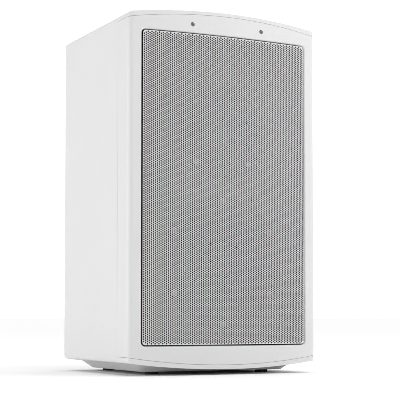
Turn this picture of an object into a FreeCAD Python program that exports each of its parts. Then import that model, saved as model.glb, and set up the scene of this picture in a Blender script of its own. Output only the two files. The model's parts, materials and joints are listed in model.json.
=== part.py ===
import FreeCAD, Part
import os, math
from FreeCAD import Vector as V

# Two-way bookshelf loudspeaker. Millimetres, +Z up, front faces -Y.
# Everything is built with Y measured back from the front corners of the
# cabinet, then moved so that the origin is the middle of the footprint.

# ---------------------------------------------------------------- dimensions
CAB_HW = 117.7            # half width of the cabinet
CAB_D = 194.0             # side face, front corner to rear edge
BOW = 7.5                 # forward bow of the front between its corners
SIDE_Z0, SIDE_Z1 = 14.0, 396.2      # side face, bottom and top edge
ARCH_TOP, ARCH_BOT = 403.6, 6.2     # arched top and bottom at the centre line
LIP_TOP_S, LIP_TOP_C = 390.6, 400.0  # underside of the top lip, side and centre
LIP_BOT_S, LIP_BOT_C = 20.0, 10.8    # top of the bottom lip, side and centre
WALL = 8.0                # side wall
LIP_BACK = 4.0            # extra thickness of top and bottom behind the lips
SEAM = 0.30               # half the groove between bezel and cabinet
WRAP = 30.0               # how far the bezel wraps round the sides
R_FRONT, R_REAR = 6.5, 3.0
R_TOP = 4.4               # rounding of the long side edges of the cabinet

OPEN_HW = 102.6           # grille opening
OPEN_Z0, OPEN_Z1 = 32.2, 378.2
OPEN_R = 4.6
BEZEL_T = 4.0
GRILLE_GAP = 1.3
GRILLE_T = 1.0
GRILLE_SINK = 0.02        # grille face below the bezel face

BAF_Y = 6.5               # front face of the baffle
BAF_T = 12.0
REAR_Y = 184.0            # inside face of the rear panel
REAR_T = 6.0

WOOF_Z, TWEET_Z = 124.5, 270.0
WOOF_R, TWEET_R = 75.0, 53.0
PORT_Z, PORT_R = 316.0, 25.0
CUP_Z = 95.0
POST_X = 9.525            # dual banana spacing is 19.05
Y_MID = (CAB_D - BOW) / 2.0

os.makedirs("parts", exist_ok=True)


# ------------------------------------------------------------------- helpers
def circ(hw, edge, mid):
    """radius and centre of the arc through (-hw, edge), (0, mid), (hw, edge)"""
    s = mid - edge
    r = (hw * hw + s * s) / (2.0 * abs(s))
    c = mid - r if s > 0 else mid + r
    return r, c


def arc_at(x, hw, edge, mid):
    r, c = circ(hw, edge, mid)
    h = math.sqrt(r * r - x * x)
    return c + h if mid > edge else c - h


def front_y(x):
    return arc_at(x, CAB_HW, 0.0, -BOW)


def box(x0, x1, y0, y1, z0, z1):
    return Part.makeBox(x1 - x0, y1 - y0, z1 - z0, V(x0, y0, z0))


def cyl(r, y0, y1, x=0.0, z=0.0):
    return Part.makeCylinder(r, y1 - y0, V(x, y0, z), V(0, 1, 0))


def cylz(r, z0, z1, x, y):
    return Part.makeCylinder(r, z1 - z0, V(x, y, z0), V(0, 0, 1))


def tube(ro, ri, y0, y1, x=0.0, z=0.0):
    return cyl(ro, y0, y1, x, z).cut(cyl(ri, y0 - 1, y1 + 1, x, z))


def rev(pts, x=0.0, z=0.0, y0=0.0):
    """closed profile of (radius, depth) points turned about a Y axis"""
    p = [V(x + r, y0 + t, z) for r, t in pts]
    f = Part.Face(Part.makePolygon(p + [p[0]]))
    s = f.revolve(V(x, 0, z), V(0, 1, 0), 360)
    return s if s.Volume > 0 else s.reversed()


def edges_along(s, ax):
    out = []
    for e in s.Edges:
        try:
            d = e.tangentAt(e.FirstParameter)
            if e.Curve.TypeId == "Part::GeomLine" and abs(abs(getattr(d, ax)) - 1) < 1e-6:
                out.append(e)
        except Exception:
            pass
    return out


def rrect(hw, z0, z1, r, y0, y1, xc=0.0):
    b = box(xc - hw, xc + hw, y0, y1, z0, z1)
    return b.makeFillet(r, edges_along(b, "y")) if r > 0 else b


def arch(hw, zbs, zbc, zts, ztc, y0, y1, r=0.0):
    a = Part.Arc(V(-hw, y0, zbs), V(0, y0, zbc), V(hw, y0, zbs)).toShape()
    b = Part.makeLine(V(hw, y0, zbs), V(hw, y0, zts))
    c = Part.Arc(V(hw, y0, zts), V(0, y0, ztc), V(-hw, y0, zts)).toShape()
    d = Part.makeLine(V(-hw, y0, zts), V(-hw, y0, zbs))
    s = Part.Face(Part.Wire([a, b, c, d])).extrude(V(0, y1 - y0, 0))
    return s.makeFillet(r, edges_along(s, "y")) if r > 0 else s


def lip_arch(hw, inset, y0, y1, r=0.0):
    """prism bounded by the two lip arcs, moved inwards by inset"""
    zt = arc_at(hw, CAB_HW, LIP_TOP_S, LIP_TOP_C) - inset
    zb = arc_at(hw, CAB_HW, LIP_BOT_S, LIP_BOT_C) + inset
    return arch(hw, zb, LIP_BOT_C + inset, zt, LIP_TOP_C - inset, y0, y1, r)


def plan(hw, d, y1, rf=0.0, rr=0.0):
    """prism bounded in front by the bowed front, set back by d"""
    yc = front_y(hw) + d
    a = Part.Arc(V(-hw, yc, -5), V(0, -BOW + d, -5), V(hw, yc, -5)).toShape()
    b = Part.makeLine(V(hw, yc, -5), V(hw, y1, -5))
    c = Part.makeLine(V(hw, y1, -5), V(-hw, y1, -5))
    e = Part.makeLine(V(-hw, y1, -5), V(-hw, yc, -5))
    s = Part.Face(Part.Wire([a, b, c, e])).extrude(V(0, 0, 420))
    ez = edges_along(s, "z")
    if rf > 0:
        s = s.makeFillet(rf, [q for q in ez if q.BoundBox.YMin < (yc + y1) / 2])
    if rr > 0:
        ez = edges_along(s, "z")
        s = s.makeFillet(rr, [q for q in ez if q.BoundBox.YMin > y1 - 0.01])
    return s


def soften(s, r, test):
    es = [e for e in s.Edges if test(e)]
    if not es:
        return s
    for k in (1.0, 0.6, 0.35):
        try:
            t = s.makeFillet(r * k, es)
            if t.isValid() and t.Volume > 0.5 * s.Volume:
                return t
        except Exception:
            pass
    return s


def hexagon(af, y0, y1, x, z):
    r = af / math.sqrt(3)
    p = [V(x + r * math.cos(math.radians(60 * i)), y0, z + r * math.sin(math.radians(60 * i))) for i in range(6)]
    return Part.Face(Part.makePolygon(p + [p[0]])).extrude(V(0, y1 - y0, 0))


def screw(x, z, y, head_r, head_h, shank_r, length, af=0.0, sink=False):
    """socket screw along +Y; y is the seat under the head"""
    if sink:
        h = Part.makeCone(head_r, shank_r, head_h, V(x, y - head_h, z), V(0, 1, 0))
    else:
        h = cyl(head_r, y - head_h, y, x, z)
        h = soften(h, head_h * 0.25, lambda e: abs(e.BoundBox.YMax - (y - head_h)) < 1e-4)
    s = h.fuse(cyl(shank_r, y, y + length, x, z)).removeSplitter()
    if af > 0:
        s = s.cut(hexagon(af, y - head_h - 1, y - head_h * 0.35, x, z))
    return s


def ring_pos(n, r, x, z, a0=0.0):
    return [(x + r * math.cos(math.radians(a0 + 360.0 * i / n)),
             z + r * math.sin(math.radians(a0 + 360.0 * i / n))) for i in range(n)]


nodes = {}


def keep(name, *solids):
    sol = []
    for s in solids:
        sol += s.Solids
    sh = sol[0] if len(sol) == 1 else Part.makeCompound(sol)
    nodes[name] = sh


# ------------------------------------------------------------------- cabinet
env = arch(CAB_HW, SIDE_Z0, ARCH_BOT, SIDE_Z1, ARCH_TOP, -20, CAB_D, R_TOP)
env = env.common(plan(CAB_HW, 0, CAB_D + 1, R_FRONT))
env = soften(env, 2.5, lambda e: e.BoundBox.YMin > CAB_D - 0.01)

cavity = lip_arch(CAB_HW - WALL, LIP_BACK, -20, CAB_D + 5)
rebate = lip_arch(CAB_HW + 5, 0.0, -20, WRAP + 0.2)
shell = env.cut(cavity).cut(rebate)
shell = max(shell.Solids, key=lambda q: q.Volume) if len(shell.Solids) == 1 else shell
pilot = [(-45, 62), (45, 62), (-45, 148), (45, 148)]
for px, py in pilot:
    shell = shell.cut(cylz(1.7, 5, 14.0, px, py))
keep("cabinet_shell", shell)

cleat = lip_arch(CAB_HW - WALL - 0.1, LIP_BACK + 0.1, BAF_Y + BAF_T + 0.1, 44.0)
cleat = cleat.cut(rrect(94.0, 40.0, 372.0, 8.0, 0, 60))
BS = [(sx * 105.9, z) for sx in (-1, 1) for z in (64, 160, 256, 352)]
for x, z in BS:
    cleat = cleat.cut(cyl(1.6, 10, 36, x * 102.0 / 105.9, z))
keep("front_cleat_frame", cleat)

rcleat = lip_arch(CAB_HW - WALL - 0.1, LIP_BACK + 0.1, REAR_Y - 12.2, REAR_Y - 0.1)
rcleat = rcleat.cut(rrect(93.0, 42.0, 370.0, 8.0, 150, 200))
RS = [(sx * 101.5, z) for sx in (-1, 1) for z in (46, 150, 258, 362)]
for x, z in RS:
    rcleat = rcleat.cut(cyl(1.6, 150, 200, x, z))
keep("rear_cleat_frame", rcleat)

# ----------------------------------------------------------- bezel and grille
bezel = lip_arch(CAB_HW, SEAM, -20, WRAP - 0.2).common(plan(CAB_HW, 0, WRAP + 5, R_FRONT))
inner = lip_arch(CAB_HW - WALL, LIP_BACK, -20, WRAP + 5).common(
    plan(CAB_HW - WALL, BEZEL_T, WRAP + 10, 2.0))
bezel = bezel.cut(inner)
opening = rrect(OPEN_HW, OPEN_Z0, OPEN_Z1, OPEN_R, -20, 40)
rim = rrect(OPEN_HW + 2.5, OPEN_Z0 - 2.5, OPEN_Z1 + 2.5, OPEN_R + 2.5, -20, BAF_Y - 0.1)
rim = rim.common(plan(CAB_HW - 5, BEZEL_T - 1.5, 30))
SCREW_S, SCREW_Z = 43.4, 387.7
boss = [cyl(3.6, front_y(SCREW_S) + 2, BAF_Y - 0.1, s * SCREW_S, SCREW_Z) for s in (-1, 1)]
bezel = bezel.fuse([rim] + boss).cut(opening)
for s in (-1, 1):
    yb = front_y(SCREW_S)
    bezel = bezel.cut(cyl(2.45, -20, yb + 2.6, s * SCREW_S, SCREW_Z))
    bezel = bezel.cut(cyl(1.45, -20, 20, s * SCREW_S, SCREW_Z))
bezel = bezel.removeSplitter()


def front_rim(e):
    b = e.BoundBox
    if b.XMax > OPEN_HW + 0.2 or b.XMin < -OPEN_HW - 0.2:
        return False
    if b.ZMin < OPEN_Z0 - 0.2 or b.ZMax > OPEN_Z1 + 0.2:
        return False
    m = e.valueAt((e.FirstParameter + e.LastParameter) / 2)
    return abs(m.y - front_y(m.x)) < 0.05


bezel = soften(bezel, 2.2, front_rim)
keep("front_bezel", bezel)
keep("bezel_screws", *[screw(s * SCREW_S, SCREW_Z, front_y(SCREW_S) + 2.6, 1.95, 2.0, 1.25, 17.0, 1.6)
                       for s in (-1, 1)])

g = GRILLE_GAP
gh, gz0, gz1, gr = OPEN_HW - g, OPEN_Z0 + g, OPEN_Z1 - g, OPEN_R - g
skin = plan(CAB_HW - 1, GRILLE_SINK, 60)
core = plan(CAB_HW - 1, GRILLE_SINK + GRILLE_T, 60)
behind = plan(CAB_HW - 1, GRILLE_SINK + GRILLE_T + 0.05, 60)
grille = rrect(gh, gz0, gz1, gr, -20, BAF_Y - 0.1).common(skin).cut(core)
keep("grille_panel", grille)
# folded steel frame that stiffens the sheet and that the magnets hold
f = 0.9
frame = rrect(gh - f, gz0 + f, gz1 - f, gr - f, -20, BAF_Y - 0.1)
frame = frame.cut(rrect(gh - f - 5.0, gz0 + f + 5.0, gz1 - f - 5.0, 1.5, -30, 40)).common(behind)
keep("grille_frame", frame)

# ---------------------------------------------------------- baffle and fixings
baffle = lip_arch(CAB_HW - WALL - 0.3, LIP_BACK + 0.3, BAF_Y, BAF_Y + BAF_T)
baffle = baffle.cut(cyl(63.5, 0, 30, 0, WOOF_Z)).cut(cyl(WOOF_R + 0.3, 0, BAF_Y + 4.6, 0, WOOF_Z))
baffle = baffle.cut(cyl(39.5, 0, 30, 0, TWEET_Z)).cut(cyl(TWEET_R + 0.3, 0, BAF_Y + 4.1, 0, TWEET_Z))
WS = ring_pos(6, 69.4, 0, WOOF_Z, 30)
TS = ring_pos(4, 47.0, 0, TWEET_Z, 45)
for x, z in WS:
    baffle = baffle.cut(cyl(1.7, 0, 30, x, z))
for x, z in TS:
    baffle = baffle.cut(cyl(1.4, 0, 30, x, z))
for x, z in BS:
    X = x * 102.0 / 105.9
    baffle = baffle.cut(cyl(2.0, 0, 30, X, z)).cut(
        Part.makeCone(3.9, 2.0, 2.2, V(X, BAF_Y, z), V(0, 1, 0)))
MAG = [(s * 97.6, z) for s in (-1, 1) for z in (48, 208, 366)]
for x, z in MAG:
    baffle = baffle.cut(cyl(4.05, 0, BAF_Y + 3.1, x, z))
for s in (-1, 1):
    baffle = baffle.cut(cyl(1.25, 0, 30, s * SCREW_S, SCREW_Z))
keep("baffle_board", baffle)
keep("baffle_screws", *[screw(x * 102.0 / 105.9, z, BAF_Y + 2.2, 3.7, 2.1, 1.55, 26, 0, True) for x, z in BS])
keep("grille_magnets", *[cyl(4.0, BAF_Y + 0.05, BAF_Y + 3.0, x, z) for x, z in MAG])

# -------------------------------------------------------------------- woofer
wy = BAF_Y
basket = rev([(60.0, 0.4), (60.6, 0.0), (74.2, 0.0), (WOOF_R, 0.8), (WOOF_R, 3.5), (62.6, 3.5),
              (62.6, 6.0), (38.6, 36.0), (38.0, 39.0), (15.4, 39.0), (15.4, 36.4), (33.5, 36.4),
              (35.6, 33.4), (33.0, 33.4), (33.0, 31.2), (38.9, 31.2), (60.0, 5.0)], 0, WOOF_Z, wy)
for i in range(6):
    a = math.radians(60 * i)
    w = box(26, 70, wy + 8.5, wy + 29.5, -13.5, 13.5)
    w = w.makeFillet(4, edges_along(w, "x"))
    w.rotate(V(0, 0, 0), V(0, 1, 0), math.degrees(a))
    w.translate(V(0, 0, WOOF_Z))
    basket = basket.cut(w)
for x, z in WS:
    basket = basket.cut(cyl(2.1, wy - 2, wy + 5, x, z))
keep("woofer_basket", basket)
keep("woofer_gasket", tube(74.4, 64.2, wy + 3.5, wy + 4.55, 0, WOOF_Z).cut(
    Part.makeCompound([cyl(2.2, wy, wy + 8, x, z) for x, z in WS])))


def half_roll(rc, ro, t, lip_in, lip_out, tc):
    """half roll ring: centre radius rc, roll radius ro, thickness t, flat lips each side"""
    n = 14
    out = [(rc - ro * math.cos(math.pi * i / n), tc - ro * math.sin(math.pi * i / n)) for i in range(n + 1)]
    inn = [(rc - (ro - t) * math.cos(math.pi * i / n), tc - (ro - t) * math.sin(math.pi * i / n)) for i in range(n + 1)]
    pts = [(rc - ro - lip_in, tc)] + [(rc - ro - lip_in, tc - t)] + [(out[0][0] - 0.001, tc - t)] + out[1:-1] + \
          [(rc + ro + 0.001, tc - t), (rc + ro + lip_out, tc - t), (rc + ro + lip_out, tc)]
    pts += [inn[-1]] + inn[-2:0:-1] + [inn[0]]
    return pts


keep("woofer_surround", rev(half_roll(56.0, 5.2, 0.8, 2.8, 4.6, -0.1), 0, WOOF_Z, wy))
keep("woofer_cone", rev([(51.6, 0.2), (51.6, 1.2), (13.3, 24.2), (13.3, 23.0), (47.8, 0.2)], 0, WOOF_Z, wy))
cap = [(18.2 * math.sin(math.radians(90 * i / 10.0)) if i else 0.0,
        13.0 + 6.5 * (1 - math.cos(math.radians(90 * i / 10.0)))) for i in range(11)]
capi = [(max(r - 0.7, 0.0) if i else 0.0, t + 0.8) for i, (r, t) in enumerate(cap)]
keep("woofer_dust_cap", rev(cap + capi[::-1], 0, WOOF_Z, wy))
keep("woofer_voice_coil", rev([(12.6, 22.5), (13.1, 22.5), (13.1, 37.5), (13.6, 37.5), (13.6, 48.0), (12.6, 48.0)],
                              0, WOOF_Z, wy))
sp = []
n = 24
for i in range(n + 1):
    r = 16.0 + (32.0 - 16.0) * i / n
    sp.append((r, 30.3 - 0.9 * math.sin(2 * math.pi * i / 6.0)))
spo = [(13.35, 30.3)] + sp + [(37.0, 30.3)]
keep("woofer_spider", rev(spo + [(r, t + 0.7) for r, t in spo[::-1]], 0, WOOF_Z, wy))
keep("woofer_top_plate", tube(36.0, 14.3, wy + 39.1, wy + 44.1, 0, WOOF_Z))
keep("woofer_magnet", tube(39.0, 20.0, wy + 44.2, wy + 59.2, 0, WOOF_Z))
yoke = cyl(36.0, wy + 59.3, wy + 65.0, 0, WOOF_Z).fuse(cyl(11.8, wy + 38.8, wy + 60.0, 0, WOOF_Z)).removeSplitter()
yoke = yoke.cut(cyl(4.0, wy + 30, wy + 70, 0, WOOF_Z))
keep("woofer_yoke", yoke)
keep("woofer_screws", *[screw(x, z, wy, 3.4, 2.3, 1.65, 14.5, 2.5) for x, z in WS])
keep("woofer_terminals", *[box(x - 2.4, x + 2.4, wy + 36.0, wy + 46.0, WOOF_Z + 40.4, WOOF_Z + 41.2) for x in (-6.0, 6.0)])

# ------------------------------------------------------------------- tweeter
fp = [(16.6, 10.4), (19.5, 8.2), (24.0, 5.4), (29.5, 2.9), (35.5, 1.0), (41.0, 0.0), (52.2, 0.0), (TWEET_R, 0.8),
      (TWEET_R, 3.5), (38.8, 3.5), (36.0, 4.4), (32.0, 7.0), (30.0, 11.3), (16.6, 11.3)]
face = rev(fp, 0, TWEET_Z, wy)
for x, z in TS:
    face = face.cut(cyl(1.8, wy - 2, wy + 5, x, z))
keep("tweeter_faceplate", face)
keep("tweeter_gasket", tube(52.4, 40.2, wy + 3.5, wy + 4.05, 0, TWEET_Z).cut(
    Part.makeCompound([cyl(1.9, wy, wy + 8, x, z) for x, z in TS])))
keep("tweeter_surround", rev(half_roll(14.6, 1.6, 0.3, 0.3, 3.4, 11.9), 0, TWEET_Z, wy))
dome = [(0.0, 6.6)] + [(12.7 * math.sin(math.radians(62 * i / 12.0)) / math.sin(math.radians(62)),
                        6.6 + 5.2 * (1 - math.cos(math.radians(62 * i / 12.0))) / (1 - math.cos(math.radians(62))))
                       for i in range(1, 13)]
domei = [(0.0, 6.95)] + [(r - 0.25, t + 0.3) for r, t in dome[1:]]
keep("tweeter_dome", rev(dome + domei[::-1], 0, TWEET_Z, wy))
keep("tweeter_voice_coil", rev([(12.35, 12.15), (12.7, 12.15), (12.7, 12.6), (12.95, 12.6), (12.95, 15.6), (12.35, 15.6)],
                               0, TWEET_Z, wy))
keep("tweeter_top_plate", tube(30.0, 13.4, wy + 12.0, wy + 15.0, 0, TWEET_Z))
keep("tweeter_magnet", tube(32.0, 17.0, wy + 15.1, wy + 25.1, 0, TWEET_Z))
keep("tweeter_back_plate", cyl(29.0, wy + 25.2, wy + 29.2, 0, TWEET_Z).fuse(
    cyl(11.9, wy + 12.8, wy + 26.0, 0, TWEET_Z)).removeSplitter())
keep("tweeter_screws", *[screw(x, z, wy, 2.9, 1.8, 1.35, 14.0, 2.0) for x, z in TS])
keep("tweeter_terminals", *[box(x - 1.6, x + 1.6, wy + 11.4, wy + 20.0, TWEET_Z - 33.6, TWEET_Z - 32.8) for x in (-5.0, 5.0)])

# ------------------------------------------------- rear panel, port, terminals
rp = lip_arch(CAB_HW - WALL - 0.3, LIP_BACK + 0.3, REAR_Y, REAR_Y + REAR_T)
rp = rp.cut(rrect(45.2, CUP_Z - 33.2, CUP_Z + 33.2, 6.0, 150, 200))
rp = rp.cut(cyl(PORT_R + 3.0, 150, 200, 0, PORT_Z))
for x, z in RS:
    rp = rp.cut(cyl(2.0, 150, 200, x, z))
CS = [(sx * 50.5, CUP_Z + sz * 34.0) for sx in (-1, 1) for sz in (-1, 1)]
for x, z in CS:
    rp = rp.cut(cyl(1.5, 150, 200, x, z))
SO = [(sx * 50.0, z) for sx in (-1, 1) for z in (159.0, 231.0)]
for x, z in SO:
    rp = rp.cut(cyl(1.3, REAR_Y - 1, REAR_Y + 4.0, x, z))
keep("rear_panel", rp)


def rear_screw(x, z, y, head_r, head_h, shank_r, length, af):
    s = screw(x, z, 0, head_r, head_h, shank_r, length, af)
    s.rotate(V(x, 0, z), V(0, 0, 1), 180)
    s.translate(V(0, y, 0))
    return s


RY = REAR_Y + REAR_T
keep("rear_panel_screws", *[rear_screw(x, z, RY, 3.5, 2.2, 1.55, 15, 2.5) for x, z in RS])

cup = rrect(55.5, CUP_Z - 39.0, CUP_Z + 39.0, 8.0, RY + 0.05, RY + 2.6)
cup = soften(cup, 1.0, lambda e: e.BoundBox.YMin > RY + 2.5)
cup = cup.fuse(rrect(45.0, CUP_Z - 33.0, CUP_Z + 33.0, 5.5, RY - 22.5, RY + 1.0)).removeSplitter()
cup = cup.cut(rrect(42.0, CUP_Z - 30.0, CUP_Z + 30.0, 4.0, RY - 19.5, RY + 10))
CUP_FLOOR = RY - 19.5
for sx in (-1, 1):
    cup = cup.cut(cyl(3.1, 150, 200, sx * POST_X, CUP_Z))
for x, z in CS:
    cup = cup.cut(cyl(1.9, 150, 200, x, z))
keep("terminal_cup", cup)
keep("terminal_cup_screws", *[rear_screw(x, z, RY + 2.6, 2.8, 1.2, 1.4, 8.4, 1.6) for x, z in CS])

port = rev([(PORT_R, 96.0), (PORT_R + 2.6, 96.0), (PORT_R + 2.6, RY), (39.5, RY + 0.05), (40.0, RY + 1.6),
            (38.8, RY + 2.6), (34.6, RY + 2.4), (31.0, RY + 0.6), (28.2, RY - 2.6), (26.3, RY - 7.0), (PORT_R, RY - 14.0)],
           0, PORT_Z, 0)
keep("port_tube", port)

P0 = CUP_FLOOR
for sx, col in ((-1, "red"), (1, "black")):
    x = sx * POST_X
    stud = cyl(5.2, P0 + 0.05, P0 + 2.2, x, CUP_Z).fuse(cyl(3.0, P0 - 13.0, P0 + 18.0, x, CUP_Z)).removeSplitter()
    stud = stud.cut(cyl(2.05, P0 - 2.0, P0 + 30, x, CUP_Z))
    keep("post_stud_" + col, stud)
    keep("post_nut_" + col, hexagon(9.0, P0 - 6.6, P0 - 3.1, x, CUP_Z).cut(cyl(3.0, 150, 200, x, CUP_Z)))
    keep("clamp_washer_" + col, tube(6.2, 3.06, P0 + 2.5, P0 + 3.4, x, CUP_Z))
    knob = rev([(3.06, 3.75), (6.9, 3.75), (7.2, 4.1), (7.2, 17.2), (6.4, 18.4), (2.5, 18.4), (2.5, 18.15), (3.06, 18.15)],
               x, CUP_Z, P0)
    for i in range(12):
        a = math.radians(30 * i)
        knob = knob.cut(cyl(0.9, P0 + 6.0, P0 + 20, x + 7.5 * math.cos(a), CUP_Z + 7.5 * math.sin(a)))
    keep("post_knob_" + col, knob)
keep("solder_tags", *[box(sx * POST_X - 4.4, sx * POST_X + 4.4, P0 - 7.45, P0 - 6.7, CUP_Z - 5, CUP_Z + 13).cut(
    cyl(3.0, 150, 200, sx * POST_X, CUP_Z)) for sx in (-1, 1)])

# ------------------------------------------------------------------ crossover
XB = REAR_Y - 8.0
board = rrect(56.0, 153.0, 237.0, 2.0, XB - 1.6, XB)
for x, z in SO:
    board = board.cut(cyl(1.6, 150, 200, x, z))
keep("crossover_board", board)
keep("board_standoffs", *[tube(3.4, 1.6, XB + 0.05, REAR_Y - 0.05, x, z) for x, z in SO])
keep("board_screws", *[screw(x, z, XB - 1.65, 2.7, 1.9, 1.2, 12.5, 1.5) for x, z in SO])
F0 = XB - 1.65
keep("woofer_inductor", tube(17.0, 7.0, F0 - 18.0, F0, -30.0, 204.0))
keep("tweeter_inductor", tube(12.5, 6.0, F0 - 12.0, F0, 36.0, 176.0))


def cap_x(x0, x1, r, z):
    c = Part.makeCylinder(r, x1 - x0, V(x0, F0 - r - 0.2, z), V(1, 0, 0))
    return soften(c, 1.0, lambda e: e.Length > 5)


keep("crossover_capacitors", cap_x(-2.0, 40.0, 8.0, 218.0), cap_x(-4.0, 28.0, 6.0, 200.0 - 1.0), cap_x(-44.0, -14.0, 6.0, 170.0))
keep("crossover_resistors", box(-8.0, 14.0, F0 - 9.0, F0 - 0.2, 163.0, 172.0), box(-8.0, 14.0, F0 - 9.0, F0 - 0.2, 176.0, 185.0))


def lead(points, r):
    """round two-core lead on a smooth curve steered by the points"""
    k = len(points)
    c = Part.BSplineCurve()
    c.buildFromPolesMultsKnots([V(*p) for p in points], [3] + [1] * (k - 3) + [3], list(range(k - 1)), False, 2)
    e = c.toShape()
    t = e.tangentAt(e.FirstParameter)
    prof = Part.Wire([Part.makeCircle(r, V(*points[0]), t)])
    s = Part.Wire([e]).makePipeShell([prof], True, True)
    return s


WOOF_LEAD = [(0, 60.5, 165.5), (0, 68, 165.5), (-4, 84, 163), (-10, 100, 148), (-14, 122, 134), (-12, 144, 136),
             (-4, 158, 146), (-2, 166, 156), (-2, 173.5, 158)]
TWEET_LEAD = [(0, 28.0, 235.3), (0, 38, 235.0), (6, 56, 230), (14, 80, 214), (20, 108, 204), (24, 132, 206), (22, 150, 214),
              (20, 160, 230), (20, 168, 233), (20, 173.5, 233)]
keep("woofer_lead", lead(WOOF_LEAD, 1.8))
keep("tweeter_lead", lead(TWEET_LEAD, 1.8))

foam = lip_arch(92.0, LIP_BACK + 0.4, 50.0, 168.0).common(box(-92, 92, 50, 168, 364.0, 410))
keep("acoustic_foam", foam)

# ------------------------------------------------------------ plinth and feet
PL_Z, PL_X, PL_Y0, PL_Y1 = 3.5, 89.5, 27.0, 175.0


def rr_wire(hx, y0, y1, r, z):
    f = Part.makeBox(2 * hx, y1 - y0, 1, V(-hx, y0, z))
    f = f.makeFillet(r, edges_along(f, "z"))
    w = [q for q in f.Faces if abs(q.CenterOfMass.z - z) < 1e-6][0].OuterWire
    return w


plinth = Part.makeLoft([rr_wire(PL_X, PL_Y0, PL_Y1, 6, PL_Z), rr_wire(PL_X + 13.6, PL_Y0 - 14.2, PL_Y1 + 17.0, 12, 14.3)], True, True)
under = arch(CAB_HW, SIDE_Z0 - 0.06, ARCH_BOT - 0.06, SIDE_Z1, ARCH_TOP, -20, 220)
plinth = plinth.cut(under)
for px, py in pilot:
    plinth = plinth.cut(cylz(2.1, 0, 20, px, py)).cut(cylz(3.9, 0, PL_Z + 2.0, px, py))
keep("base_plinth", plinth)


def foot(x, y):
    f = cylz(7.4, 0, PL_Z, x, y)
    return soften(f, 0.8, lambda e: e.BoundBox.ZMax < 0.01)


keep("rubber_feet", *[foot(sx * 70.0, y) for sx in (-1, 1) for y in (43.0, 167.0)])


def up_screw(x, y):
    s = screw(x, 0, 0, 3.5, 1.7, 1.6, 7.5, 2.0)
    s.rotate(V(x, 0, 0), V(1, 0, 0), 90)
    s.translate(V(0, y, PL_Z + 2.0))
    return s


keep("plinth_screws", *[up_screw(x, y) for x, y in pilot])

# --------------------------------------------------------------------- export
bad = []
for name, sh in nodes.items():
    sh = sh.copy()
    sh.translate(V(0, -Y_MID, 0))
    if not sh.isValid() or not sh.Solids:
        bad.append(name)
    sh.exportStep("parts/%s.step" % name)
bb = Part.makeCompound(list(nodes.values())).BoundBox
print(len(nodes), "nodes; bad:", bad)
print("box", [round(v, 3) for v in (bb.XMin, bb.YMin - Y_MID, bb.ZMin, bb.XMax, bb.YMax - Y_MID, bb.ZMax)])
for k, s in nodes.items():
    print("%-22s solids %d  vol %.1f" % (k, len(s.Solids), s.Volume))
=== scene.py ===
import bpy
import bmesh
import json
import math
import numpy as np
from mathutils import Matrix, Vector


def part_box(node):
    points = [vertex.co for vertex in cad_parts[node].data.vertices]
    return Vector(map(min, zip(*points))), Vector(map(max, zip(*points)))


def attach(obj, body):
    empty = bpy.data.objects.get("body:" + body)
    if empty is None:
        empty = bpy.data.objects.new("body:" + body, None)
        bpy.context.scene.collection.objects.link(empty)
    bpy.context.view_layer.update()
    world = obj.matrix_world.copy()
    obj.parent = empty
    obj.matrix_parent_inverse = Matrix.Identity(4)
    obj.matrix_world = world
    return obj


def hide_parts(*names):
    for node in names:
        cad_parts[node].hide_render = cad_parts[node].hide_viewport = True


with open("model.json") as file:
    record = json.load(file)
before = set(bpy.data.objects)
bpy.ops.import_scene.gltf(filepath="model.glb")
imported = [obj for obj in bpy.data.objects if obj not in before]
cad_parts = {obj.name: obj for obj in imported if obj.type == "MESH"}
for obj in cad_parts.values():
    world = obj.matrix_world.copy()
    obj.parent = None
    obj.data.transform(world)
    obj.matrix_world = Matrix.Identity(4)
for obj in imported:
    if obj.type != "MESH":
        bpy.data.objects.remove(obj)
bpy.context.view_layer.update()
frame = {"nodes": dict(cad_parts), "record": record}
NODES = frame["nodes"]
MM = 0.001

# The cabinet's front corners lie at this Y in the row frame.
Y0 = -0.09325
HALF_W = 0.1177
BOW = 0.0075
BOW_R = (HALF_W ** 2 + BOW ** 2) / (2 * BOW)


def front_y(x, back=0.0):
    """Y of the bowed front at x, set back by some metres"""
    return Y0 - (math.sqrt(BOW_R ** 2 - x * x) - (BOW_R - BOW)) + back


# --------------------------------------------------------------- materials
def node(nt, kind, x=0, y=0, **inputs):
    n = nt.nodes.new(kind)
    n.location = (x, y)
    for k, v in inputs.items():
        n.inputs[k].default_value = v
    return n


def ramp(nt, fac, stops):
    n = nt.nodes.new("ShaderNodeValToRGB")
    els = n.color_ramp.elements
    while len(els) > 2:
        els.remove(els[-1])
    for i, (p, c) in enumerate(stops):
        e = els[i] if i < 2 else els.new(p)
        e.position = p
        e.color = (*c, 1.0)
    nt.links.new(fac, n.inputs["Fac"])
    return n.outputs["Color"]


def grey(v):
    return (v, v, v)


def mix3(c, k):
    return tuple(min(1.0, max(0.0, v * k)) for v in c)


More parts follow.
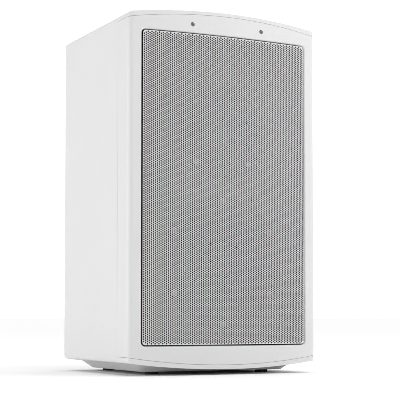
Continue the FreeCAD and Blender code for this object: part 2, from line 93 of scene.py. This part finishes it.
def material(name, colour, rough, metallic=0.0, var=0.04, var_scale=60.0, grain=0.0, grain_scale=2500.0,
             grain_dist=0.0002, rough_var=0.05, coat=0.0, sheen=0.0, spec=0.5, stretch=(1, 1, 1), second=None,
             voronoi=False):
    """Principled surface whose colour, roughness and bump all come from 3-D noise in object space"""
    m = bpy.data.materials.new(name)
    m.use_nodes = True
    nt = m.node_tree
    nt.nodes.clear()
    out = node(nt, "ShaderNodeOutputMaterial", 900, 0)
    b = node(nt, "ShaderNodeBsdfPrincipled", 600, 0)
    nt.links.new(b.outputs[0], out.inputs[0])
    b.inputs["Metallic"].default_value = metallic
    b.inputs["Specular IOR Level"].default_value = spec
    b.inputs["Coat Weight"].default_value = coat
    b.inputs["Sheen Weight"].default_value = sheen
    tc = node(nt, "ShaderNodeTexCoord", -900, 0)
    mp = node(nt, "ShaderNodeMapping", -700, 0)
    mp.inputs["Scale"].default_value = stretch
    nt.links.new(tc.outputs["Object"], mp.inputs["Vector"])
    big = node(nt, "ShaderNodeTexNoise", -450, 250, Scale=var_scale, Detail=3.0, Roughness=0.55)
    nt.links.new(mp.outputs[0], big.inputs["Vector"])
    lo, hi = mix3(colour, 1 - var), mix3(colour, 1 + var)
    if second is not None:
        hi = second
    nt.links.new(ramp(nt, big.outputs["Fac"], [(0.3, lo), (0.7, hi)]), b.inputs["Base Color"])
    fine = node(nt, "ShaderNodeTexNoise", -450, -50, Scale=grain_scale * 0.4, Detail=2.0, Roughness=0.5)
    nt.links.new(mp.outputs[0], fine.inputs["Vector"])
    rr = nt.nodes.new("ShaderNodeMapRange")
    rr.location = (-100, -50)
    rr.inputs["To Min"].default_value = max(0.02, rough - rough_var)
    rr.inputs["To Max"].default_value = min(1.0, rough + rough_var)
    nt.links.new(fine.outputs["Fac"], rr.inputs["Value"])
    nt.links.new(rr.outputs[0], b.inputs["Roughness"])
    if grain > 0:
        if voronoi:
            g = node(nt, "ShaderNodeTexVoronoi", -450, -350, Scale=grain_scale)
            src = g.outputs["Distance"]
        else:
            g = node(nt, "ShaderNodeTexNoise", -450, -350, Scale=grain_scale, Detail=3.0, Roughness=0.6)
            src = g.outputs["Fac"]
        nt.links.new(mp.outputs[0], g.inputs["Vector"])
        bp = node(nt, "ShaderNodeBump", 200, -350, Strength=grain, Distance=grain_dist)
        nt.links.new(src, bp.inputs["Height"])
        nt.links.new(bp.outputs[0], b.inputs["Normal"])
    return m


WHITE = material("white_satin", grey(0.75), 0.42, var=0.008, var_scale=18, grain=0.10, grain_scale=3200, grain_dist=0.00006,
                 rough_var=0.05, spec=0.45)
MATS = {
    "white_satin": WHITE,
    "white_rear": material("white_rear", grey(0.80), 0.5, var=0.012, var_scale=25, grain=0.25, grain_scale=2200,
                           grain_dist=0.0001, spec=0.4),
    "mdf": material("mdf", (0.50, 0.36, 0.22), 0.85, var=0.18, var_scale=420, grain=0.4, grain_scale=1500, spec=0.2),
    # painted shade: the baffle's near-black colour stands in for the shade behind the perforated sheet, darkening the
    # view through the grille's holes
    "baffle_paint": material("baffle_paint", grey(0.07), 0.6, var=0.03, var_scale=80, grain=0.2, grain_scale=1200),
    "grille_metal": material("grille_metal", grey(0.76), 0.38, var=0.015, var_scale=120, grain=0.12, grain_scale=4200,
                             grain_dist=0.00005, spec=0.5),
    "nickel": material("nickel", (0.72, 0.70, 0.66), 0.25, metallic=1.0, var=0.05, grain=0.05),
    "screw_steel": material("screw_steel", (0.30, 0.30, 0.31), 0.36, metallic=1.0, var=0.12, var_scale=500, grain=0.1),
    # on the grille frame this near-black is painted shade that darkens the slit round the grille's edge; on the other
    # parts that use it, it is their own black finish
    "black_metal": material("black_metal", grey(0.022), 0.42, var=0.2, grain=0.2, grain_scale=2800),
    "foam": material("foam", (0.035, 0.035, 0.038), 0.95, var=0.5, var_scale=900, grain=0.9, grain_scale=900,
                     grain_dist=0.0006, spec=0.15, voronoi=True),
    "rubber_black": material("rubber_black", grey(0.018), 0.5, var=0.15, grain=0.1, sheen=0.1),
    "cone_black": material("cone_black", (0.022, 0.022, 0.024), 0.6, var=0.35, var_scale=700, grain=0.35, grain_scale=1100,
                           grain_dist=0.0002, spec=0.3),
    "copper": material("copper", (0.60, 0.25, 0.10), 0.32, metallic=1.0, var=0.12, var_scale=300, grain=0.5,
                       grain_scale=900, stretch=(1, 6, 1)),
    "spider_cloth": material("spider_cloth", (0.50, 0.30, 0.12), 0.9, var=0.2, var_scale=900, grain=0.7, grain_scale=1400,
                             voronoi=True, spec=0.15),
    "zinc_steel": material("zinc_steel", (0.55, 0.56, 0.55), 0.34, metallic=1.0, var=0.1, var_scale=200, grain=0.1),
    "ferrite": material("ferrite", (0.055, 0.055, 0.06), 0.55, var=0.25, var_scale=350, grain=0.4, grain_scale=900, spec=0.4),
    "brass_parts": material("brass_parts", (0.62, 0.46, 0.22), 0.3, metallic=1.0, var=0.1, grain=0.1),
    "black_plastic": material("black_plastic", grey(0.025), 0.5, var=0.15, grain=0.35, grain_scale=2600, grain_dist=0.00008),
    "dome_silk": material("dome_silk", (0.03, 0.03, 0.034), 0.62, var=0.3, var_scale=1500, grain=0.5, grain_scale=3500,
                          voronoi=True, sheen=0.3),
    "gold_brass": material("gold_brass", (0.80, 0.56, 0.22), 0.22, metallic=1.0, var=0.06, grain=0.05),
    "red_plastic": material("red_plastic", (0.55, 0.012, 0.012), 0.22, var=0.06, grain=0.05, coat=0.3),
    "black_gloss": material("black_gloss", grey(0.014), 0.22, var=0.1, grain=0.05, coat=0.3),
    "pcb": material("pcb", (0.03, 0.16, 0.06), 0.35, var=0.3, var_scale=220, grain=0.2, coat=0.3),
    "nylon": material("nylon", (0.75, 0.73, 0.66), 0.5, var=0.05, grain=0.1),
    "cap_film": material("cap_film", (0.60, 0.42, 0.06), 0.3, var=0.08, grain=0.1, coat=0.3),
    "ceramic_white": material("ceramic_white", (0.74, 0.72, 0.66), 0.7, var=0.06, grain=0.4, grain_scale=1200),
    "lead_jacket": material("lead_jacket", (0.05, 0.05, 0.055), 0.45, var=0.12, grain=0.1),
    "rubber_feet": material("rubber_feet", grey(0.012), 0.7, var=0.2, grain=0.4, grain_scale=1800),
}
SLOT_OF = {s["node"]: s["material_slot"] for s in frame["record"]["subparts"]}
for name, ob in NODES.items():
    m = MATS[SLOT_OF.get(name, "white_satin")]
    ob.data.materials.clear()
    ob.data.materials.append(m)


def new_object(name, verts, faces, mat, body="cabinet"):
    me = bpy.data.meshes.new(name)
    me.from_pydata(verts, [], faces)
    me.validate()
    me.update()
    me.materials.append(mat)
    ob = bpy.data.objects.new(name, me)
    bpy.context.scene.collection.objects.link(ob)
    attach(ob, body)
    return ob


# ------------------------------------------------------ perforated grille
def build_grille():
    """Bowed 1 mm sheet, perforated right up to its cut edge with staggered round holes, in horizontal bands"""
    lo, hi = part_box("grille_panel")
    hw = hi.x
    z0, z1 = lo.z, hi.z
    sink = (lo.y - (Y0 - BOW))
    t = 0.001
    pz, r = 0.0025, HOLE_R
    px = pz * math.sqrt(3) / 2
    ncol = int((hw - px / 2) / px)                     # columns each side of the middle one
    nrow = int((z1 - z0) / pz)
    # the holes' grid is stretched by under half a percent, so that it ends a hair inside the cut edge
    px = (hw - 0.00015) / (ncol + 0.5)
    pz = (z1 - z0 - 0.0004) / nrow
    zb = (z0 + z1) / 2 - nrow * pz / 2                 # bottom of the lowest whole cell
    xe = (ncol + 0.5) * px                             # edge of the perforated field
    ze = zb + nrow * pz
    rad = 0.0033

    def at(i, j):
        """grid point: i counts half columns, j half rows"""
        return (i * px / 2, zb + j * pz / 2)

    planes = []                                        # chords of the rounded corners, as half-planes
    for sx in (-1, 1):
        for cz, sz in ((z0 + rad, -1), (z1 - rad, 1)):
            arc = [(sx * (hw - rad + rad * math.cos(a)), cz + sz * rad * math.sin(a))
                   for a in [math.radians(90.0 * q / 8) for q in range(9)]]
            for p, q in zip(arc, arc[1:]):
                nx, nz = q[1] - p[1], p[0] - q[0]
                if nx * sx < 0:
                    nx, nz = -nx, -nz
                planes.append((p, (nx, nz), sx, sz, cz))

    def near_corner(x, z):
        return abs(x) > hw - rad - 1e-9 and (z < z0 + rad + 1e-9 or z > z1 - rad - 1e-9)

    def outside(x, z):
        if not near_corner(x, z):
            return False
        cz = z0 + rad if z < (z0 + z1) / 2 else z1 - rad
        return math.hypot(abs(x) - (hw - rad), z - cz) > rad + 1e-7

    def clip(poly):
        for p, n, sx, sz, cz in planes:
            if not any(near_corner(x, z) and x * sx > 0 and (z - cz) * sz > -1e-9 for x, z in poly):
                continue
            side = [(x - p[0]) * n[0] + (z - p[1]) * n[1] for x, z in poly]
            if max(side) < 1e-13:
                continue
            res = []
            for k in range(len(poly)):
                a, b2, da, db = poly[k], poly[(k + 1) % len(poly)], side[k], side[(k + 1) % len(poly)]
                if da <= 1e-13:
                    res.append(a)
                if (da < -1e-13 and db > 1e-13) or (da > 1e-13 and db < -1e-13):
                    u = da / (da - db)
                    res.append((a[0] + (b2[0] - a[0]) * u, a[1] + (b2[1] - a[1]) * u))
            poly = res
            if len(poly) < 3:
                return []
        return poly

    bands = 5
    out = []
    per = math.ceil(nrow / bands)
    for bnd in range(bands):
        ra, rb = bnd * per, min(nrow, (bnd + 1) * per)
        index = {}
        verts, faces = [], []
        edges = {}

        def v(p, side):
            key = (round(p[0] * 1e7), round(p[1] * 1e7), side)
            if key not in index:
                index[key] = len(verts)
                verts.append((p[0], front_y(p[0], sink + (t if side else 0)), p[1]))
            return index[key]

        def outline(pts):
            """remembers the cell's outer edges, so that the ones no other cell shares get a wall"""
            ids = [v(p, 0) for p in pts]
            for k in range(len(ids)):
                e = (ids[k], ids[(k + 1) % len(ids)])
                if e[0] == e[1]:
                    continue
                if (e[1], e[0]) in edges:
                    del edges[(e[1], e[0])]
                else:
                    edges[e] = (pts[k], pts[(k + 1) % len(pts)])

        def plain(pts):
            """a cell with no hole, anticlockwise"""
            pts = clip(pts)
            keep = []
            for p in pts:
                if not keep or v(p, 0) != v(keep[-1], 0):
                    keep.append(p)
            if len(keep) > 1 and v(keep[0], 0) == v(keep[-1], 0):
                keep.pop()
            if len(keep) < 3:
                return
            faces.append([v(p, 0) for p in keep])
            faces.append([v(p, 1) for p in reversed(keep)])
            outline(keep)

        ja, jb = 2 * ra, 2 * rb
        first, last = bnd == 0, bnd == bands - 1
        for c in range(-ncol, ncol + 1):
            shift = c % 2
            i = 2 * c
            x = c * px
            cells = []
            j, end = ja + shift, jb + shift
            if shift and first:
                cells.append((ja, ja + 1, False))
            if shift and last:
                end = jb - 1
            while j + 2 <= end:
                cells.append((j, j + 2, True))
                j += 2
            if shift and last:
                cells.append((jb - 1, jb, False))
            for j0, j1, full in cells:
                ring = [at(i + 1, j0 + 1), at(i + 1, j1), at(i, j1), at(i - 1, j1), at(i - 1, j0 + 1), at(i - 1, j0), at(i, j0), at(i + 1, j0)]
                z = at(0, j0 + 1)[1]
                if full and not any(outside(*p) for p in ring):
                    hole = []
                    for side in (0, 1):
                        row = []
                        for k in range(8):
                            a = 2 * math.pi * k / 8
                            xx, zz = x + r * math.cos(a), z + r * math.sin(a)
                            row.append(len(verts))
                            verts.append((xx, front_y(xx, sink + (t if side else 0)), zz))
                        hole.append(row)
                    for k in range(8):
                        n = (k + 1) % 8
                        faces.append((v(ring[k], 0), v(ring[n], 0), hole[0][n], hole[0][k]))
                        faces.append((v(ring[n], 1), v(ring[k], 1), hole[1][k], hole[1][n]))
                        faces.append((hole[0][k], hole[0][n], hole[1][n], hole[1][k]))
                    outline(ring)
                else:
                    plain([at(i + 1, q) for q in range(j0, j1 + 1)] + [at(i, j1)] +
                          [at(i - 1, q) for q in range(j1, j0 - 1, -1)] + [at(i, j0)])
                # narrow plain strip outside the last column
                zs = [at(0, q)[1] for q in range(j0, j1 + 1)]
                if c == ncol:
                    plain([(hw, zs[0]), (hw, zs[-1])] + [(xe, q) for q in reversed(zs)])
                if c == -ncol:
                    plain([(-hw, zs[-1]), (-hw, zs[0])] + [(-xe, q) for q in zs])
            for here, jj, zz in ((first, ja, z0), (last, jb, z1)):
                if not here:
                    continue
                lo3 = [at(i - 1, jj), at(i, jj), at(i + 1, jj)]
                pts = lo3 + [(lo3[2][0], zz), (lo3[0][0], zz)]
                plain(pts if zz == z1 else list(reversed(pts)))
        for here, zi, zz in ((first, zb, z0), (last, ze, z1)):
            if here:
                for sx in (-1, 1):
                    pts = [(sx * xe, zi), (sx * hw, zi), (sx * hw, zz), (sx * xe, zz)]
                    plain(pts if (sx > 0) == (zz == z1) else list(reversed(pts)))
        for a, b2 in edges.values():
            faces.append((v(b2, 0), v(a, 0), v(a, 1), v(b2, 1)))
        out.append(new_object("grille_sheet_%d" % (bnd + 1), verts, faces, MATS["grille_metal"]))
    for o in out:
        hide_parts("grille_panel")
    return out


HOLE_R = 0.00107
GRILLE = build_grille()

# ------------------------------------------------------- leads and foam inside
WOOF_LEAD = [(0, 60.5, 165.5), (0, 68, 165.5), (-4, 84, 163), (-10, 100, 148), (-14, 122, 134), (-12, 144, 136), (-4, 158, 146),
             (-2, 166, 156), (-2, 173.5, 158)]
TWEET_LEAD = [(0, 28, 235.3), (0, 38, 235.0), (6, 56, 230), (14, 80, 214), (20, 108, 204), (24, 132, 206), (22, 150, 214),
              (20, 160, 230), (20, 168, 233), (20, 173.5, 233)]


def lead(name, poles, replaced):
    """internal two-core lead, fixed at both ends"""
    cu = bpy.data.curves.new(name, "CURVE")
    cu.dimensions = "3D"
    sp = cu.splines.new("NURBS")
    sp.points.add(len(poles) - 1)
    for q, (x, y, z) in zip(sp.points, poles):
        q.co = (x * MM, y * MM + Y0, z * MM, 1.0)
    sp.order_u = 3
    sp.use_endpoint_u = True
    sp.resolution_u = 12
    cu.bevel_depth = 0.0018
    cu.bevel_resolution = 4
    cu.use_fill_caps = True
    cu.materials.append(MATS["lead_jacket"])
    ob = bpy.data.objects.new(name, cu)
    bpy.context.scene.collection.objects.link(ob)
    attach(ob, "cabinet")
    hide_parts(replaced)
    return ob


lead("woofer_lead_cable", WOOF_LEAD, "woofer_lead")
lead("tweeter_lead_cable", TWEET_LEAD, "tweeter_lead")


def foam_pad():
    """convoluted acoustic foam glued under the cabinet's top: flat on its upper side, rows of soft peaks below"""
    lo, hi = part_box("acoustic_foam")
    nx, ny = 88, 56
    inset = 0.002
    x0, x1, y0, y1 = lo.x + inset, hi.x - inset, lo.y + inset, hi.y - inset
    verts, faces = [], []
    for side in (0, 1):
        for j in range(ny + 1):
            for i in range(nx + 1):
                x, y = x0 + (x1 - x0) * i / nx, y0 + (y1 - y0) * j / ny
                # the cabinet's top falls away to the sides, and the pad follows it
                top = hi.z - 0.0006 - 0.0094 * (x / HALF_W) ** 2
                e = min(i, nx - i, 3) / 3.0 * min(j, ny - j, 3) / 3.0
                if side == 0:
                    z = top - 0.0005 * (1 - e)
                else:
                    k = (0.5 + 0.5 * math.cos(2 * math.pi * (x - x0) / 0.0165)) * (0.5 + 0.5 * math.cos(2 * math.pi * (y - y0) / 0.0165))
                    z = lo.z + 0.0014 + 0.0125 * (1 - math.sqrt(max(0.0, k))) * (0.35 + 0.65 * e) + 0.003 * (1 - e)
                verts.append((x, y, z))
    n = (nx + 1) * (ny + 1)
    for j in range(ny):
        for i in range(nx):
            a = j * (nx + 1) + i
            faces.append((a, a + 1, a + nx + 2, a + nx + 1))
            faces.append((n + a, n + a + nx + 1, n + a + nx + 2, n + a + 1))
    rimv = [i for i in range(nx + 1)] + [j * (nx + 1) + nx for j in range(1, ny + 1)]
    rimv += [ny * (nx + 1) + i for i in range(nx - 1, -1, -1)] + [j * (nx + 1) for j in range(ny - 1, 0, -1)]
    for k in range(len(rimv)):
        a, b = rimv[k], rimv[(k + 1) % len(rimv)]
        faces.append((b, a, n + a, n + b))
    ob = new_object("acoustic_foam_pad", verts, faces, MATS["foam"])
    for q in ob.data.polygons:
        q.use_smooth = True
    ob.data.set_sharp_from_angle(angle=math.radians(60))
    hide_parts("acoustic_foam")
    return ob


foam_pad()

# --------------------------------------------------------- stage and lights
def floor():
    me = bpy.data.meshes.new("floor")
    s = 30.0
    me.from_pydata([(-s, -s, 0), (s, -s, 0), (s, s, 0), (-s, s, 0)], [], [(0, 1, 2, 3)])
    m = material("floor_white", grey(0.93), 0.6, var=0.004, var_scale=3, spec=0.2)
    me.materials.append(m)
    ob = bpy.data.objects.new("floor", me)
    bpy.context.scene.collection.objects.link(ob)


floor()
scene = bpy.context.scene
world = bpy.data.worlds.new("studio")
scene.world = world
world.use_nodes = True
wt = world.node_tree
wt.nodes.clear()
wo = wt.nodes.new("ShaderNodeOutputWorld")
bg1 = wt.nodes.new("ShaderNodeBackground")
bg1.inputs["Color"].default_value = (1, 1, 1, 1)
bg1.inputs["Strength"].default_value = 0.26
bg2 = wt.nodes.new("ShaderNodeBackground")
bg2.inputs["Color"].default_value = (1, 1, 1, 1)
bg2.inputs["Strength"].default_value = 1.1
lp = wt.nodes.new("ShaderNodeLightPath")
mx = wt.nodes.new("ShaderNodeMixShader")
wt.links.new(lp.outputs["Is Camera Ray"], mx.inputs[0])
wt.links.new(bg1.outputs[0], mx.inputs[1])
wt.links.new(bg2.outputs[0], mx.inputs[2])
wt.links.new(mx.outputs[0], wo.inputs[0])


def area(name, loc, aim, size, power, size_y=None):
    d = bpy.data.lights.new(name, "AREA")
    d.energy = power
    d.size = size
    if size_y:
        d.shape = "RECTANGLE"
        d.size_y = size_y
    ob = bpy.data.objects.new(name, d)
    ob.location = loc
    ob.rotation_euler = (Vector(aim) - Vector(loc)).to_track_quat("-Z", "Y").to_euler()
    scene.collection.objects.link(ob)
    return ob


def sun(name, direction, strength, angle):
    d = bpy.data.lights.new(name, "SUN")
    d.energy = strength
    d.angle = math.radians(angle)
    ob = bpy.data.objects.new(name, d)
    ob.rotation_euler = Vector(direction).to_track_quat("-Z", "Y").to_euler()
    scene.collection.objects.link(ob)
    return ob


sun("overhead", (-0.16, -0.03, -1.0), 2.75, 90)
area("key_right", (1.9, -1.1, 0.8), (0, 0, 0.2), 1.2, 9.2)
area("grille_top", (0.45, -0.75, 0.85), (0.0, -0.09, 0.34), 0.3, 1.4)
area("side_left", (-1.9, 0.55, 0.42), (0, 0.05, 0.12), 1.8, 8.0, 0.6)
area("side_low", (-1.25, 0.15, 0.085), (0, 0.05, 0.03), 1.4, 2.2, 0.14)

cam_d = bpy.data.cameras.new("camera")
cam = bpy.data.objects.new("camera", cam_d)
scene.collection.objects.link(cam)
scene.camera = cam
cam_d.sensor_width = 36.0
cam_d.lens = 1273.4 / 400 * 36.0
cam_d.shift_y = 49.5 / 400
cam_d.clip_start = 0.05
cam_d.clip_end = 100
cam_d.dof.use_dof = False
cam.location = (-0.6645, -1.2563 + Y0, 0.0644)
th, ph = math.radians(26.75), math.radians(3.01)
d = Vector((math.sin(th) * math.cos(ph), math.cos(th) * math.cos(ph), math.sin(ph)))
cam.rotation_euler = d.to_track_quat("-Z", "Y").to_euler()

scene.cycles.denoising_prefilter = "NONE"
scene.cycles.denoising_input_passes = "RGB_ALBEDO_NORMAL"
scene.cycles.filter_width = 0.8
scene.view_settings.view_transform = "Standard"
scene.view_settings.look = "None"
scene.view_settings.exposure = 0.0
scene.view_settings.gamma = 1.0

bpy.context.view_layer.update()
